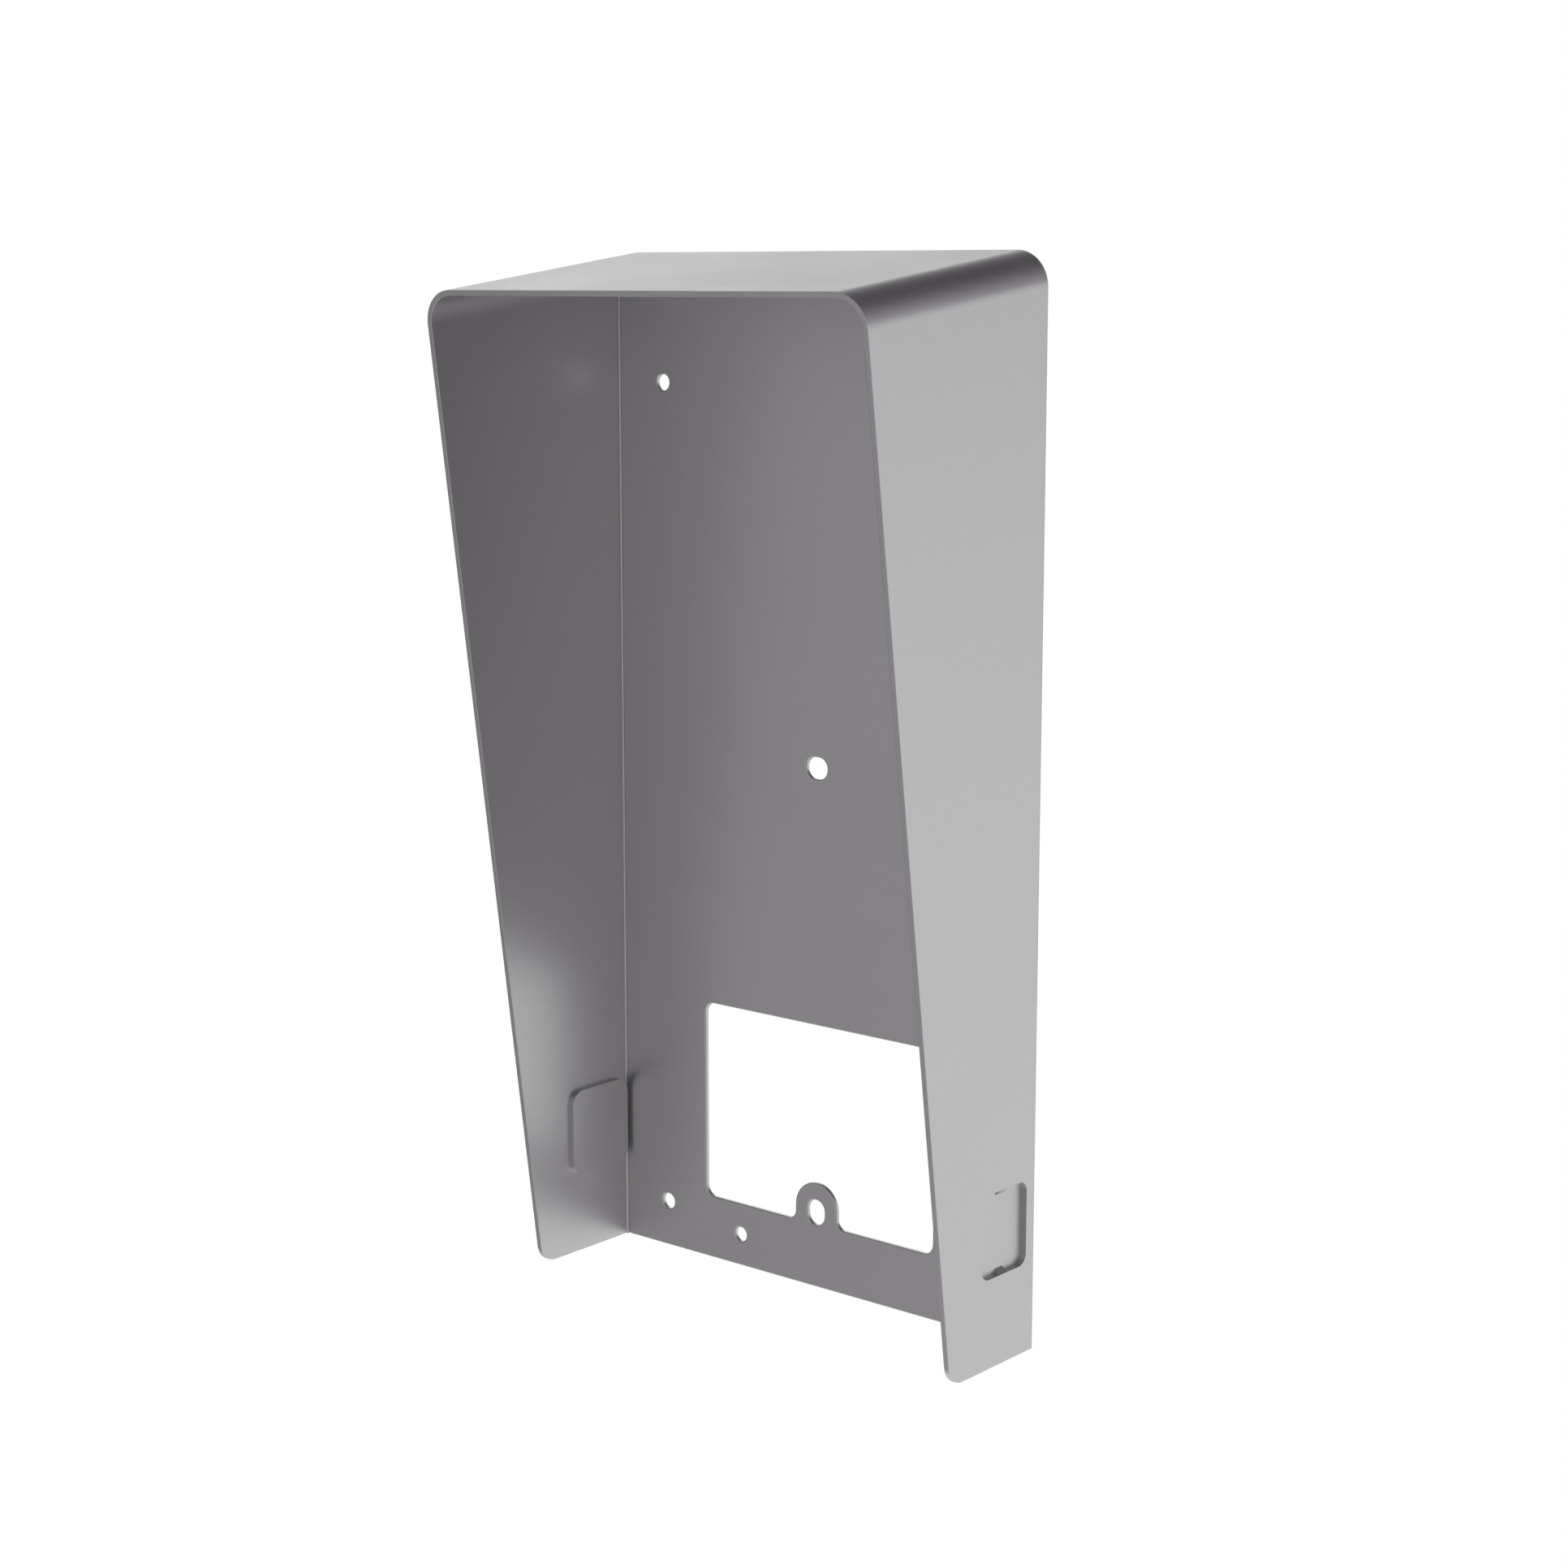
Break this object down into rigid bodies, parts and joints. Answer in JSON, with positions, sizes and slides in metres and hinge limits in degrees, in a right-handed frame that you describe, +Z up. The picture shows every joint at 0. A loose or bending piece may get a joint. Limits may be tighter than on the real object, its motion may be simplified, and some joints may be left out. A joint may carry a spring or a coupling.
{
  "type": "door station rain hood",
  "caption": "Sheet-metal rain hood for a wall-mounted door station: sloping roof, deepening side cheeks, open front and foot, back plate with a cable cut-out and slotted screw holes.",
  "frame": {"origin": "on the wall plane, at the centre of the rectangle of four corner screw holes", "axes": "+Y points into the wall, so the hood stands out towards -Y; +Z is up; +X is to the right for someone facing the hood"},
  "size_m": [0.0974, 0.049, 0.1891],
  "materials": {
    "sheet_metal": "fine bead-blasted satin",
    "weld_metal": "ground smooth and blasted to match the sheet"
  },
  "bodies": {
    "root": {"canopy_wrap": "sheet_metal", "back_plate": "sheet_metal", "weld_left": "weld_metal", "weld_right": "weld_metal", "weld_top": "weld_metal"}
  },
  "joints": []
}
